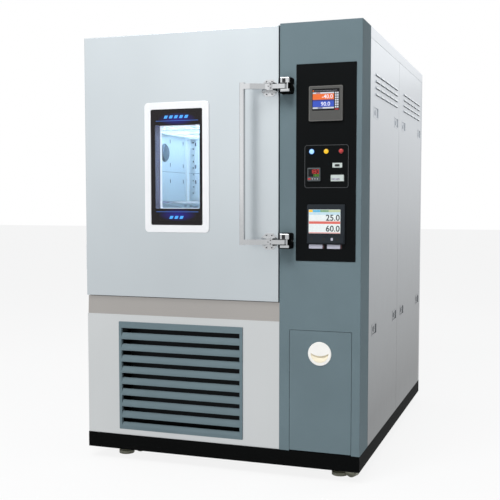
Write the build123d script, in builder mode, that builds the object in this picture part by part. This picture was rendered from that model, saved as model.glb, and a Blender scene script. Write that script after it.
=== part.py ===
from build123d import *
from math import cos, radians, sin
import os

# Floor-standing environmental test chamber, in millimetres, +Z up, front towards -Y.
# The origin is on the floor, under the middle of everything that the chamber reaches to.
# Places are measured from the cabinet's front left bottom corner: x across from the left
# side, y back from the face of the control column, z up from the underside of the plinth.

# Driving dimensions of the cabinet
cabinet_width = 1103.0
cabinet_depth = 1467.0
cabinet_height = 1620.0
foot_height = 45.0
plinth_height = 58.6
sheet = 2.0
louvre_reach = 4.6
hinge_reach = 20.0
handle_reach = 82.0

# Origin of the corner that places are measured from
left = hinge_reach - (cabinet_width + hinge_reach + louvre_reach) / 2
front = handle_reach - (cabinet_depth + handle_reach + louvre_reach) / 2
base = foot_height

# Door, sill and lower front
door_width = 796.0
door_bottom = 610.0
door_top = 1615.0
door_front = -2.0
door_back = 64.0
jamb_face = 75.0
sill_bottom = 537.0
sill_top = 607.0
column_left = 800.0
column_return = 144.0
side_start = 68.0

# Window, outside to inside
trim_box = (259.0, 524.5, 862.0, 1355.0)
pane_box = (285.0, 498.0, 890.0, 1329.0)
view_box = (301.0, 487.0, 952.0, 1272.0)
trim_radius = 16.0
trim_proud = 4.0

# Test space
space_x = (100.0, 700.0)
space_z = (690.0, 1500.0)
baffle_y = 815.0
liner_back = 990.0
liner_sheet = 1.5
wall_back = 1065.0
shelf_levels = (973.0, 1276.0)
port_y = 525.0
port_z = 1197.0

# Control column
fascia_box = (862.0, 1083.0, 764.0, 1471.0)
fascia_proud = 1.5
controller_box = (910.5, 1034.6, 1265.7, 1390.5)
controller_screen = (923.0, 1023.0, 1303.0, 1380.0)
subpanel_box = (895.0, 1055.0, 1029.0, 1181.0)
limiter_box = (906.0, 953.7, 1052.3, 1100.3)
meter_box = (991.6, 1039.6, 1051.5, 1074.4)
socket_box = (997.3, 1033.0, 1100.0, 1117.0)
recorder_box = (905.5, 1045.0, 827.0, 969.0)
recorder_screen = (912.0, 1029.0, 865.0, 951.0)
flap_box = (909.0, 1041.5, 830.0, 858.0)
lamp_x = (921.0, 974.5, 1029.0)
lamp_z = 1158.5
drawer_box = (838.0, 1072.0, 59.0, 510.5)
drawer_pull_centre = (953.3, 426.5)

# Intake grille
grille_box = (138.7, 654.7, 81.5, 509.0)
slot_pitch = 44.6
slot_count = 9
first_slot = 474.8

# Handle and latches
bar_x = (672.0, 690.0)
bar_z = (822.0, 1405.0)
latch_pivot = (775.0, -40.0)
latch_z = (833.0, 1391.0)
tongue_tip = 839.0
tongue_half = 8.0
housing_x = 762.0
keeper_x = (815.5, 850.5)
keeper_y = (-52.0, -30.0)
keeper_rise = (-21.0, 31.0)
keeper_slot = 11.0
spacer_x = (806.0, 853.5)
spacer_pocket_y = -15.0

# Hinges
hinge_axis = (-12.0, 40.0)
hinge_z = (760.0, 1465.0)
pin_radius = 4.0
running_gap = 0.05

# Levelling casters: corner, and the way that each wheel trails at rest
caster_corners = {
    "front_left": (115.0, 106.0, 35.0),
    "front_right": (1007.0, 106.0, -20.0),
    "rear_left": (115.0, 1361.0, 60.0),
    "rear_right": (1007.0, 1361.0, 120.0),
}
wheel_radius = 25.0
wheel_width = 26.0
wheel_lift = 2.0
trail = 55.0


def at(x, y, z):
    """Turn a place on the cabinet into the model's own frame."""
    return (left + x, front + y, base + z)


def block(x, y, z, mode=Mode.ADD):
    """Add or cut a box given as three low-high pairs."""
    with Locations(at(sum(x) / 2, sum(y) / 2, sum(z) / 2)):
        Box(x[1] - x[0], y[1] - y[0], z[1] - z[0], mode=mode)


def rod(x, y, z, radius, length, axis=Axis.Z, mode=Mode.ADD):
    """Add or cut a round bar centred on a place."""
    turn = {Axis.Z: (0, 0, 0), Axis.Y: (90, 0, 0), Axis.X: (0, 90, 0)}[axis]
    with Locations(at(x, y, z)):
        Cylinder(radius, length, rotation=turn, mode=mode)


def front_plane(y):
    """Plane that faces the reader, with its own x across and y up, at a depth."""
    return Plane(origin=at(0, y, 0), x_dir=(1, 0, 0), z_dir=(0, -1, 0))


def side_plane(x):
    """Plane that faces right, with its own x to the back and y up, at a width."""
    return Plane(origin=at(x, 0, 0), x_dir=(0, 1, 0), z_dir=(1, 0, 0))


def floor_plane(z):
    """Plane that faces up, with its own x across and y to the back, at a height."""
    return Plane(origin=at(0, 0, z), x_dir=(1, 0, 0), z_dir=(0, 0, 1))


def front_plate(box, y, thickness, radius=0.0, mode=Mode.ADD):
    """Add or cut a plate seen from the front, with rounded corners, from y backwards."""
    width = box[1] - box[0]
    height = box[3] - box[2]
    with BuildSketch(front_plane(y)) as outline:
        with Locations(((box[0] + box[1]) / 2, (box[2] + box[3]) / 2)):
            if radius:
                RectangleRounded(width, height, radius)
            else:
                Rectangle(width, height)
    extrude(outline.sketch, amount=-thickness, mode=mode)


def grown(box, by):
    """Box seen from the front with every side moved out."""
    return (box[0] - by, box[1] + by, box[2] - by, box[3] + by)


def save(name, *pieces):
    """Write one node, with each of its pieces as a solid of its own."""
    solids = [solid for piece in pieces for solid in piece.solids()]
    node = solids[0] if len(solids) == 1 else Compound(children=solids)
    node.label = name
    export_step(node, f"parts/{name}.step")


os.makedirs("parts", exist_ok=True)

# Welded base: skirt, deck, cross tubes, posts and rails
inner_x = (4.0, cabinet_width - 4.0)
inner_y = (4.0, cabinet_depth - 4.0)
deck_z = (plinth_height - 3.0, plinth_height)
frame_solids = []
frame_bars = [
    ((0, cabinet_width), (0, 4), (0, plinth_height)),
    ((0, cabinet_width), (inner_y[1], cabinet_depth), (0, plinth_height)),
    ((0, 4), inner_y, (0, plinth_height)),
    ((inner_x[1], cabinet_width), inner_y, (0, plinth_height)),
    (inner_x, inner_y, deck_z),
    (inner_x, (76, 136), (30.6, deck_z[0])),
    (inner_x, (1331, 1391), (30.6, deck_z[0])),
    ((850, 860), (10, 420), (plinth_height, 61.8)),
    ((1050, 1060), (10, 420), (plinth_height, 61.8)),
    ((6, 46), (20, 60), (plinth_height, 567)),
    ((752, 792), (20, 60), (plinth_height, 567)),
    ((6, 46), (1020, 1060), (plinth_height, 567)),
    ((752, 792), (1020, 1060), (plinth_height, 567)),
    ((6, 792), (20, 60), (567, sill_top)),
    ((6, 792), (1020, 1060), (567, sill_top)),
    ((6, 46), (1415, 1455), (plinth_height, 1578)),
    ((1057, 1097), (1415, 1455), (plinth_height, 1578)),
]
for bar in frame_bars:
    with BuildPart() as frame_bar:
        block(*bar)
    frame_solids.append(frame_bar.part)
save("cabinet_frame", *frame_solids)

# Control column: one bent sheet, open at the back and the bottom
with BuildPart() as column_shell:
    column_x = (column_left, cabinet_width)
    block(column_x, (0, column_return), (plinth_height, cabinet_height))
    inside_x = (column_left + sheet, cabinet_width - sheet)
    block(inside_x, (sheet, column_return), (plinth_height, cabinet_height - sheet), Mode.SUBTRACT)
    block((column_left, inside_x[0]), (side_start, column_return), (plinth_height, 1618), Mode.SUBTRACT)
    front_plate(grown(fascia_box, -10), 0, sheet, mode=Mode.SUBTRACT)
    front_plate((drawer_box[0], drawer_box[1], plinth_height, drawer_box[3]), 0, sheet, mode=Mode.SUBTRACT)
    column_edges = column_shell.edges().filter_by(Axis.Z).group_by(Axis.Y)[0]
    outer_corner = column_edges.sort_by(Axis.X)[-1]
    fillet(outer_corner, 1.8)
save("column_shell", column_shell.part)

# Fascia with the cut-outs of its instruments and a raised outline round the pilot lamps
with BuildPart() as control_fascia:
    front_plate(fascia_box, -fascia_proud, fascia_proud, 3)
    front_plate(grown(subpanel_box, 1.2), -fascia_proud - 1.0, 1.0, 9)
    front_plate(grown(subpanel_box, -1.2), -fascia_proud - 1.0, 1.0, 7.5, mode=Mode.SUBTRACT)
    for cutout in (controller_box, recorder_box, limiter_box, meter_box, socket_box):
        front_plate(grown(cutout, -3), -fascia_proud, fascia_proud, mode=Mode.SUBTRACT)
    for x in lamp_x:
        rod(x, -fascia_proud / 2, lamp_z, 8.0, fascia_proud, Axis.Y, Mode.SUBTRACT)
save("control_fascia", control_fascia.part)


def instrument(box, bezel, body_depth, window, window_depth, radius):
    """Panel instrument: a rounded bezel on the fascia and a case behind its cut-out."""
    with BuildPart() as case:
        front_plate(box, -fascia_proud - bezel, bezel, radius)
        rim = case.faces().sort_by(Axis.Y)[0].edges()
        chamfer(rim, min(2.0, bezel / 3))
        front_plate(grown(box, -3.2), -fascia_proud, body_depth)
        if window:
            front_plate(window, -fascia_proud - bezel, window_depth, mode=Mode.SUBTRACT)
    return case.part


bezel_depth = 8.0
bezel_face = -fascia_proud - bezel_depth
screen_depth = 1.2
save("controller_body", instrument(controller_box, bezel_depth, 95, controller_screen, screen_depth, 5))

# Recorder, with the two ears that carry its flap's pin
flap_axis = (bezel_face - 1.7, flap_box[2] + 2.0)
with BuildPart() as recorder_ears:
    for x in (flap_box[0] - 1.5, flap_box[1] + 1.5):
        block((x - 1.2, x + 1.2), (bezel_face - 3.2, bezel_face), (flap_axis[1] - 1.6, flap_axis[1] + 1.6))
with BuildPart() as recorder_body:
    add(instrument(recorder_box, bezel_depth, 110, recorder_screen, screen_depth, 5))
    add(recorder_ears.part)
save("recorder_body", recorder_body.part)

with BuildPart() as recorder_flap:
    flap_face = (bezel_face - 3.2, bezel_face - 0.3)
    block((flap_box[0], flap_box[1]), flap_face, (flap_axis[1], flap_box[3]))
    rod(sum(flap_box[:2]) / 2, flap_axis[0], flap_axis[1], 1.45, flap_box[1] - flap_box[0], Axis.X)
    lip_z = (flap_box[3] - 4, flap_box[3])
    block((965, 985), (flap_face[0] - 1.5, flap_face[0]), lip_z)
recorder_flap.part.label = "recorder_flap"
export_step(recorder_flap.part, "parts/recorder_flap.step")

# Small temperature limiter with four keys in pockets of their own
limiter_bezel = 6.0
limiter_face = -fascia_proud - limiter_bezel
key_z = 1060.5
key_sizes = {"red": (913.5, 10.0), "left": (925.0, 6.0), "middle": (934.5, 6.0), "right": (944.0, 6.0)}
key_height = 6.0
key_gap = 0.25
key_travel = 0.8
with BuildPart() as limit_controller:
    add(instrument(limiter_box, limiter_bezel, 80, (909.5, 950.2, 1068.0, 1096.0), 1.0, 3))
    for x, width in key_sizes.values():
        half = width / 2 + key_gap
        pocket = (x - half, x + half, key_z - key_height / 2 - key_gap, key_z + key_height / 2 + key_gap)
        front_plate(pocket, limiter_face, 3.5, mode=Mode.SUBTRACT)
save("limit_controller", limit_controller.part)

for name, (x, width) in key_sizes.items():
    with BuildPart() as key:
        shape = (x - width / 2, x + width / 2, key_z - key_height / 2, key_z + key_height / 2)
        front_plate(shape, limiter_face - 1.0, 3.5, 1.2)
        fillet(key.faces().sort_by(Axis.Y)[0].edges(), 0.4)
    save(f"limit_key_{name}", key.part)

with BuildPart() as hour_meter:
    add(instrument(meter_box, 4.0, 30, grown(meter_box, -3.0), 0.8, 1.5))

# Data socket under its closed dust cap
with BuildPart() as data_socket:
    add(instrument(socket_box, 2.5, 20, None, 0, 1.5))
    front_plate((1006.7, 1023.7, 1105.0, 1112.0), -fascia_proud - 3.7, 1.2, 3)
save("panel_inserts", hour_meter.part, data_socket.part)

# Pilot lamps: bezel, domed lens and body, made about an upright axis with the lens on top
with BuildPart() as pilot_lamp:
    with Locations((0, 0, 1.2)):
        Cylinder(9.5, 2.4)
    with Locations((0, 0, -12)):
        Cylinder(7.8, 24)
    with Locations((0, 0, 4.7)):
        Cylinder(8.0, 4.6)
    fillet(pilot_lamp.edges().filter_by(GeomType.CIRCLE).group_by(Axis.Z)[-1], 3.6)
save("pilot_lamps", *[pilot_lamp.part.moved(Location(at(x, -fascia_proud, lamp_z), (90, 0, 0))) for x in lamp_x])

# Side panels, with the dish of each panel fastener let in flush
right_face = cabinet_width - sheet
right_spans = ((146.0, 770.0), (772.0, 1430.0))
left_spans = ((side_start, 770.0), (772.0, 1430.0))
panel_z = (plinth_height, 1579.0)
dish_size = (90.0, 45.0)
dish_levels = (490.0, 1315.0)
right_dishes = (254.0, 705.0, 899.0, 1368.0)
left_dishes = (176.0, 705.0, 899.0, 1368.0)
louvre_length = 84.0
louvre_pitch = 100.0
louvre_rows = (1381.0, 1405.5, 1430.0, 1454.0)
louvre_groups = (245.0, 896.0)
louvre_count = 5


hood_outline = [(-sheet, 0), (louvre_reach, 0), (louvre_reach, 1.5), (0, 9), (-sheet, 9)]
throat_outline = [(-sheet, -1), (3.4, -1), (3.4, 1.5), (0, 7), (-sheet, 7)]


# One hood and the throat that opens it downwards; own x outward, own y up
with BuildPart() as hood:
    with BuildSketch(Plane(origin=(0, 0, 0), x_dir=(1, 0, 0), z_dir=(0, -1, 0))):
        with BuildLine():
            Polyline(*hood_outline, close=True)
        make_face()
    extrude(amount=louvre_length / 2, both=True)
with BuildPart() as throat:
    with BuildSketch(Plane(origin=(0, 0, 0), x_dir=(1, 0, 0), z_dir=(0, -1, 0))):
        with BuildLine():
            Polyline(*throat_outline, close=True)
        make_face()
    extrude(amount=louvre_length / 2 - 1.5, both=True)


right_panels = []
for span, first in zip(right_spans, louvre_groups):
    with BuildPart() as right_panel:
        block((right_face, cabinet_width), span, panel_z)
        for y in right_dishes:
            if span[0] < y < span[1]:
                for z in dish_levels:
                    block((right_face, cabinet_width), (y - 42, y + 42), (z - 19.5, z + 19.5), Mode.SUBTRACT)
        row_y = [first + louvre_length / 2 + i * louvre_pitch for i in range(louvre_count)]
        places = [at(cabinet_width, y, z) for y in row_y for z in louvre_rows]
        with Locations(*places):
            add(hood.part)
        with Locations(*places):
            add(throat.part, mode=Mode.SUBTRACT)
    right_panels.append(right_panel.part)
save("right_side_panels", *right_panels)

left_panels = []
for span in left_spans:
    with BuildPart() as left_panel:
        block((0, sheet), span, panel_z)
        for y in left_dishes:
            if span[0] < y < span[1]:
                for z in dish_levels:
                    block((0, sheet), (y - 42, y + 42), (z - 19.5, z + 19.5), Mode.SUBTRACT)
        if span[0] < port_y < span[1]:
            rod(sheet / 2, port_y, port_z, 31.2, sheet, Axis.X, Mode.SUBTRACT)
    left_panels.append(left_panel.part)
save("left_side_panels", *left_panels)


def dish(face, inward, y, z):
    """Shallow panel-fastener dish with a slotted quarter-turn head."""
    with BuildPart() as cup:
        rim = sorted((face - inward * 0.8, face))
        pan = sorted((face, face + inward * 3.5))
        head = sorted((face + inward * 0.5, face + inward * 3.0))
        slot = sorted((face + inward * 0.5, face + inward * 1.3))
        block(rim, (y - dish_size[0] / 2, y + dish_size[0] / 2), (z - dish_size[1] / 2, z + dish_size[1] / 2))
        block(pan, (y - 41.5, y + 41.5), (z - 19, z + 19))
        hollow = sorted((face - inward * 0.8, face + inward * 2.6))
        block(hollow, (y - 40, y + 40), (z - 17.5, z + 17.5), Mode.SUBTRACT)
        rod(sum(head) / 2, y, z, 10, head[1] - head[0], Axis.X)
        block(slot, (y - 8, y + 8), (z - 1.2, z + 1.2), Mode.SUBTRACT)
    return cup.part


dishes = [dish(cabinet_width, -1, y, z) for y in right_dishes for z in dish_levels]
dishes += [dish(0, 1, y, z) for y in left_dishes for z in dish_levels]
save("panel_fasteners", *dishes)

# Top cover: a tray turned down round the edge, notched for the column
with BuildPart() as top_cover:
    cover_z = (1580.0, cabinet_height)
    block((0, cabinet_width), (side_start, cabinet_depth), cover_z)
    block((column_left - 1, cabinet_width), (side_start, column_return + 1), cover_z, Mode.SUBTRACT)
    hollow_z = (1580.0, cabinet_height - sheet)
    block((sheet, right_face), (column_return + 3, cabinet_depth - sheet), hollow_z, Mode.SUBTRACT)
    block((sheet, column_left - 3), (side_start + sheet, column_return + 3), hollow_z, Mode.SUBTRACT)
save("top_cover", top_cover.part)

# Back panel with folded returns, exhaust louvres and the power cable's gland
back_face = cabinet_depth - sheet
back_louvre_x = (300.0, 400.0, 500.0, 600.0, 700.0, 800.0)
back_louvre_z = (300.0, 330.0, 360.0, 1400.0, 1430.0)
with BuildPart() as back_panel:
    block((0, cabinet_width), (1432.0, cabinet_depth), panel_z)
    block((sheet, right_face), (1432.0, back_face), panel_z, Mode.SUBTRACT)
    places = [Location(at(x, cabinet_depth, z), (0, 0, 90)) for x in back_louvre_x for z in back_louvre_z]
    with Locations(*places):
        add(hood.part)
    with Locations(*places):
        add(throat.part, mode=Mode.SUBTRACT)
    rod(960, back_face, 160, 14.2, 20, Axis.Y, Mode.SUBTRACT)
with BuildPart() as cable_gland:
    rod(960, cabinet_depth + 2.2, 160, 18, 4.4, Axis.Y)
    rod(960, back_face - 4, 160, 14, 20, Axis.Y)
    rod(960, back_face, 160, 8, 60, Axis.Y, Mode.SUBTRACT)
save("back_panel", back_panel.part, cable_gland.part)

# Lower front sheet and the leaning sill strip above it
with BuildPart() as lower_front_panel:
    block((0, 798.5), (3, 3 + sheet), (plinth_height, sill_bottom))
    block((0, sheet), (3, side_start - 0.5), (plinth_height, sill_bottom))
    block((0, 798.5), (3, 18), (sill_bottom - sheet, sill_bottom))
    front_plate(grown(grille_box, -9), 3, sheet, mode=Mode.SUBTRACT)
save("lower_front_panel", lower_front_panel.part)

with BuildPart() as sill_strip:
    with BuildSketch(side_plane(0)):
        with BuildLine():
            lean = [(8, sill_bottom), (12, sill_top), (12 + sheet, sill_top), (8 + sheet, sill_bottom)]
            Polyline(*lean, close=True)
        make_face()
    extrude(amount=798.5)
    block((0, sheet), (12, side_start - 0.5), (sill_bottom, sill_top))
save("sill_strip", sill_strip.part)

# Intake grille: flat frame and leaning blades that close on it with gussets at their ends
grille_face = -1.0
grille_back = 13.0
blade_x = (grille_box[0] + 11.0, grille_box[1] - 11.0)
blade_half = 12.5
with BuildPart() as intake_grille:
    front_plate(grille_box, grille_face, 4.0, 2)
    front_plate(grown(grille_box, -10.0), 3.0, grille_back - 3.0)
    opening = (blade_x[0], blade_x[1], grille_box[2] + 12.5, first_slot + slot_pitch / 2 - blade_half)
    front_plate(opening, grille_face, grille_back - grille_face, mode=Mode.SUBTRACT)
    for i in range(slot_count):
        middle = first_slot - (i + 0.5) * slot_pitch
        with BuildSketch(side_plane(blade_x[0])) as blade:
            with BuildLine():
                low = middle - blade_half
                high = middle + blade_half
                Line((grille_face, low), (grille_face, low + 3))
                ThreePointArc((grille_face, low + 3), (grille_face + 3.2, middle + 4), (grille_back - 2, high))
                Polyline((grille_back - 2, high), (grille_back, high), (grille_back, high - 1.5),
                         (grille_face + 1.8, low), (grille_face, low))
            make_face()
        extrude(blade.sketch, amount=blade_x[1] - blade_x[0])
    block(blade_x, (3.0, grille_back), (grille_box[2], grille_box[2] + 9.5), Mode.SUBTRACT)
save("intake_grille", intake_grille.part)

# Insulation: five foam slabs round the test space
foam_front = jamb_face + liner_sheet
foam_x = (4.0, 798.0)
foam_z = (609.0, 1578.0)
hole_x = (space_x[0] - liner_sheet, space_x[1] + liner_sheet)
hole_z = (space_z[0] - liner_sheet, space_z[1] + liner_sheet)
fan_x = 400.0
fan_z = 1330.0
with BuildPart() as foam_left:
    block((foam_x[0], hole_x[0]), (foam_front, wall_back), foam_z)
    rod(sum((foam_x[0], hole_x[0])) / 2, port_y, port_z, 31.2, 120, Axis.X, Mode.SUBTRACT)
with BuildPart() as foam_right:
    block((hole_x[1], foam_x[1]), (foam_front, wall_back), foam_z)
with BuildPart() as foam_bottom:
    block(hole_x, (foam_front, wall_back), (foam_z[0], hole_z[0]))
with BuildPart() as foam_top:
    block(hole_x, (foam_front, wall_back), (hole_z[1], foam_z[1]))
with BuildPart() as foam_back:
    block(hole_x, (liner_back, wall_back), hole_z)
    rod(fan_x, (liner_back + wall_back) / 2, fan_z, 12, 100, Axis.Y, Mode.SUBTRACT)
foam = [foam_left, foam_right, foam_bottom, foam_top, foam_back]
save("insulation", *[slab.part for slab in foam])

# Liner: welded stainless box with a flange that the door's seal closes on
with BuildPart() as chamber_liner:
    block(hole_x, (jamb_face, liner_back), hole_z)
    block(foam_x, (jamb_face, foam_front), foam_z)
    block(space_x, (jamb_face, liner_back - liner_sheet), space_z, Mode.SUBTRACT)
    rod(space_x[0], port_y, port_z, 31.2, 10, Axis.X, Mode.SUBTRACT)
    rod(fan_x, liner_back, fan_z, 12, 10, Axis.Y, Mode.SUBTRACT)

# Shelf pilasters with lugs under each shelf
pilaster_y = (150.0, 772.0)
with BuildPart() as shelf_pilasters:
    for y in pilaster_y:
        for x in ((space_x[0], space_x[0] + 7), (space_x[1] - 7, space_x[1])):
            block(x, (y - 12, y + 12), (space_z[0] + 20, space_z[1] - 20))
        for level in shelf_levels:
            block((space_x[0] + 7, space_x[0] + 21), (y - 8, y + 8), (level - 4, level))
            block((space_x[1] - 21, space_x[1] - 7), (y - 8, y + 8), (level - 4, level))
save("chamber_liner", chamber_liner.part, shelf_pilasters.part)

# Wire shelves: a square-bar frame, two cross bars and wires front to back
shelf_x = (space_x[0] + 9.0, space_x[1] - 9.0)
shelf_y = (95.0, 795.0)
shelf_bar = 8.0
wire = 3.0
wire_count = 27
shelves = []
for level in shelf_levels:
    with BuildPart() as shelf:
        block(shelf_x, shelf_y, (level, level + shelf_bar))
        hole = (shelf_x[0] + shelf_bar, shelf_x[1] - shelf_bar)
        block(hole, (shelf_y[0] + shelf_bar, shelf_y[1] - shelf_bar), (level, level + shelf_bar), Mode.SUBTRACT)
        for y in (330.0, 560.0):
            block(hole, (y - 4, y + 4), (level, level + shelf_bar - wire))
        wire_pitch = (hole[1] - hole[0]) / (wire_count + 1)
        with Locations(at(sum(hole) / 2, sum(shelf_y) / 2, level + shelf_bar - wire / 2)):
            with GridLocations(wire_pitch, 1, wire_count, 1):
                Box(wire, shelf_y[1] - shelf_y[0] - 2 * shelf_bar, wire)
    shelves.append(shelf.part)
save("wire_shelves", *shelves)

# Rear baffle: air guide with slots at the top and bottom and a row of holes at each side
with BuildPart() as rear_baffle:
    baffle_x = (space_x[0] + 0.5, space_x[1] - 0.5)
    block(baffle_x, (baffle_y, baffle_y + 1.5), (space_z[0] + 0.5, space_z[1] - 0.5))
    side_holes = [at(x, baffle_y, 1020 + 30 * i) for x in (118, 682) for i in range(9)]
    with Locations(*side_holes):
        Box(8, 4, 8, mode=Mode.SUBTRACT)
    air_slots = [at(158 + 44 * i, baffle_y, z) for i in range(12) for z in (1440, 1470, 722, 752)]
    with Locations(*air_slots):
        Box(36, 4, 20, mode=Mode.SUBTRACT)
save("rear_baffle", rear_baffle.part)

# Cable port through the left wall, closed by a soft plug
with BuildPart() as cable_port:
    rod(50, port_y, port_z, 31, 108, Axis.X)
    rod(-2, port_y, port_z, 42, 4, Axis.X)
    rod(102, port_y, port_z, 40, 4, Axis.X)
    rod(50, port_y, port_z, 28, 120, Axis.X, Mode.SUBTRACT)

with BuildPart() as port_plug:
    rod(50, port_y, port_z, 27.7, 96, Axis.X)
    rod(-7, port_y, port_z, 34, 6, Axis.X)
    rod(107, port_y, port_z, 34, 6, Axis.X)
    rod(101, port_y, port_z, 27.7, 8, Axis.X)
    rod(-1, port_y, port_z, 27.7, 8, Axis.X)
save("cable_port", cable_port.part, port_plug.part)

# Light fitting under the chamber's ceiling, behind the window
with BuildPart() as chamber_lamp:
    block((250, 550), (100, 150), (space_z[1] - 18, space_z[1]))
    lamp_bottom = chamber_lamp.faces().sort_by(Axis.Z)[0]
    chamfer(lamp_bottom.edges(), 6)
save("chamber_lamp", chamber_lamp.part)

# Air circulation: motor behind the back wall and a bladed wheel in the plenum
with BuildPart() as fan_motor:
    rod(fan_x, wall_back + 91, fan_z, 72, 170, Axis.Y)
    block((fan_x - 90, fan_x + 90), (wall_back, wall_back + 6), (fan_z - 90, fan_z + 90))
    rod(fan_x, wall_back + 20, fan_z, 8 + running_gap, 60, Axis.Y, Mode.SUBTRACT)
save("fan_motor", fan_motor.part)

# Fan wheels are made about their own upright axis and then laid along the cabinet's depth
with BuildPart() as impeller:
    with Locations((0, 0, -30)):
        Cylinder(115, 3)
    with Locations((0, 0, -10)):
        Cylinder(20, 40)
    with Locations((0, 0, -80)):
        Cylinder(8, 180)
    with PolarLocations(98, 12):
        Box(28, 2.5, 62, rotation=(0, 0, 40))
save("circulation_impeller", impeller.part.moved(Location(at(fan_x, 915, fan_z), (90, 0, 0))))

# Evaporator, heater rods and humidifier pan in the plenum
with BuildPart() as evaporator:
    block((130, 670), (835, 935), (800, 1080))
    for i in range(5):
        block((116, 130), (850 + 16 * i, 858 + 16 * i), (820, 1060))
with BuildPart() as heater_rods:
    for i in range(3):
        rod(400, 850 + 32 * i, 1120, 6, 520, Axis.X)

with BuildPart() as humidifier_pan:
    block((130, 670), (835, 955), (space_z[0] + 2, 750))
    block((134, 666), (839, 951), (space_z[0] + 6, 750), Mode.SUBTRACT)
save("air_treatment", evaporator.part, heater_rods.part, humidifier_pan.part)

# Refrigeration below: compressor, condenser with shroud, and its fan
with BuildPart() as compressor:
    with Locations(at(540, 620, plinth_height + 152)):
        Cylinder(100, 265)
    fillet(compressor.edges().filter_by(GeomType.CIRCLE).group_by(Axis.Z)[-1], 60)
    fillet(compressor.edges().filter_by(GeomType.CIRCLE).group_by(Axis.Z)[0], 30)
    block((430, 650), (510, 730), (plinth_height, plinth_height + 24))
save("compressor", compressor.part)

cooler_x = 396.0
cooler_z = 300.0
shroud_radius = 176.0
with BuildPart() as condenser:
    block((cooler_x - 240, cooler_x + 240), (70, 130), (90, 510))
    block((cooler_x - 240, cooler_x + 240), (130, 132), (90, 510))
    rod(cooler_x, 146, cooler_z, shroud_radius + 2, 32, Axis.Y)
    rod(cooler_x, 148, cooler_z, shroud_radius, 32, Axis.Y, Mode.SUBTRACT)
with BuildPart() as condenser_motor:
    rod(cooler_x, 215, cooler_z, 38, 60, Axis.Y)
    rod(cooler_x, 190, cooler_z, 5 + running_gap, 30, Axis.Y, Mode.SUBTRACT)
    for z in (cooler_z - 120, cooler_z + 120):
        block((cooler_x - 6, cooler_x + 6), (238, 244), sorted((cooler_z, z)))
    for z in (cooler_z - 200, cooler_z + 200):
        block((cooler_x - 6, cooler_x + 6), (132, 244), (z - 6, z + 6))
        block((cooler_x - 6, cooler_x + 6), (238, 244), sorted((cooler_z, z)))
save("condenser", condenser.part, condenser_motor.part)

with BuildPart() as cooling_fan:
    Cylinder(34, 26)
    with Locations((0, 0, -24)):
        Cylinder(5, 26)
    with PolarLocations(98, 5):
        Box(136, 60, 2.5, rotation=(28, 0, 0))
save("condenser_fan", cooling_fan.part.moved(Location(at(cooler_x, 160, cooler_z), (90, 0, 0))))

# Electrical plate behind the fascia, with its rails and switchgear
with BuildPart() as electrical_plate:
    block((822, 1085), (250, 253), (620, 1520))
    for z in (760, 980, 1200, 1420):
        block((835, 1072), (242, 250), (z - 17, z + 17))
        for i in range(4):
            block((842 + 58 * i, 890 + 58 * i), (170, 242), (z - 40, z + 40))
    block((822, 1085), (253, 300), (620, 640))
save("electrical_plate", electrical_plate.part)

# Water drawer: front with folded edges on a carriage plate
front_gap = 1.5
drawer_front_box = (drawer_box[0] + front_gap, drawer_box[1] - front_gap, 62.2, drawer_box[3] - front_gap)
pull_x, pull_z = drawer_pull_centre
pull_radius = 43.5
cup_radius = 37.0
with BuildPart() as drawer_front:
    front_plate(drawer_front_box, 0, 20)
    front_plate(grown(drawer_front_box, -sheet), sheet, 20, mode=Mode.SUBTRACT)
    rod(pull_x, 1, pull_z, cup_radius + 1.5, sheet, Axis.Y, Mode.SUBTRACT)
    block((845, 1065), (sheet, 410), (62.2, 65.2))
save("drawer_front", drawer_front.part)

# Round pull: a turned cup, its upper part covered, leaving a crescent for the fingers
with BuildPart() as drawer_pull:
    rod(pull_x, -1.5, pull_z, pull_radius, 3, Axis.Y)
    rod(pull_x, 9, pull_z, cup_radius, 24, Axis.Y)
    chamfer(drawer_pull.faces().sort_by(Axis.Y)[0].edges(), 1.5)
    with BuildSketch(front_plane(-3)) as crescent:
        with BuildLine():
            ends = [(pull_x - 33, pull_z + 2), (pull_x + 33, pull_z + 2)]
            ThreePointArc(ends[0], (pull_x, pull_z - 33), ends[1])
            ThreePointArc(ends[1], (pull_x, pull_z - 8), ends[0])
        make_face()
    extrude(crescent.sketch, amount=-21, mode=Mode.SUBTRACT)
save("drawer_pull", drawer_pull.part)

# Water tank with its cap
with BuildPart() as water_tank:
    block((860, 1050), (34, 400), (65.5, 360))
    fillet(water_tank.edges().filter_by(Axis.Z), 12)
    fillet(water_tank.faces().sort_by(Axis.Z)[-1].edges(), 8)
    rod(910, 90, 366, 28, 16)
save("water_tank", water_tank.part)

# Door: outer tray, foam, inner pan and seal
window_hole = grown(trim_box, -9)
with BuildPart() as door_skin:
    block((0, door_width), (door_front, door_back), (door_bottom, door_top))
    fillet(door_skin.faces().sort_by(Axis.Y)[0].edges(), 2.5)
    core_box = (sheet, door_width - sheet, door_bottom + sheet, door_top - sheet)
    front_plate(core_box, door_front + sheet, 80, mode=Mode.SUBTRACT)
    front_plate(window_hole, door_front, sheet, 8, mode=Mode.SUBTRACT)
save("door_skin", door_skin.part)

with BuildPart() as door_core:
    front_plate(core_box, door_front + sheet, door_back - sheet - door_front - sheet)
    front_plate(window_hole, door_front, 80, 8, mode=Mode.SUBTRACT)
save("door_core", door_core.part)

with BuildPart() as door_inner_pan:
    front_plate(core_box, door_back - sheet, sheet)
    front_plate(window_hole, door_back - sheet, sheet, 8, mode=Mode.SUBTRACT)
save("door_inner_pan", door_inner_pan.part)

with BuildPart() as door_gasket:
    seal_box = (26.0, 774.0, 634.0, 1552.0)
    seal_depth = jamb_face - door_back - 0.3
    front_plate(seal_box, door_back, seal_depth, 20)
    front_plate(grown(seal_box, -16), door_back, seal_depth, 12, mode=Mode.SUBTRACT)
save("door_gasket", door_gasket.part)

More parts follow.
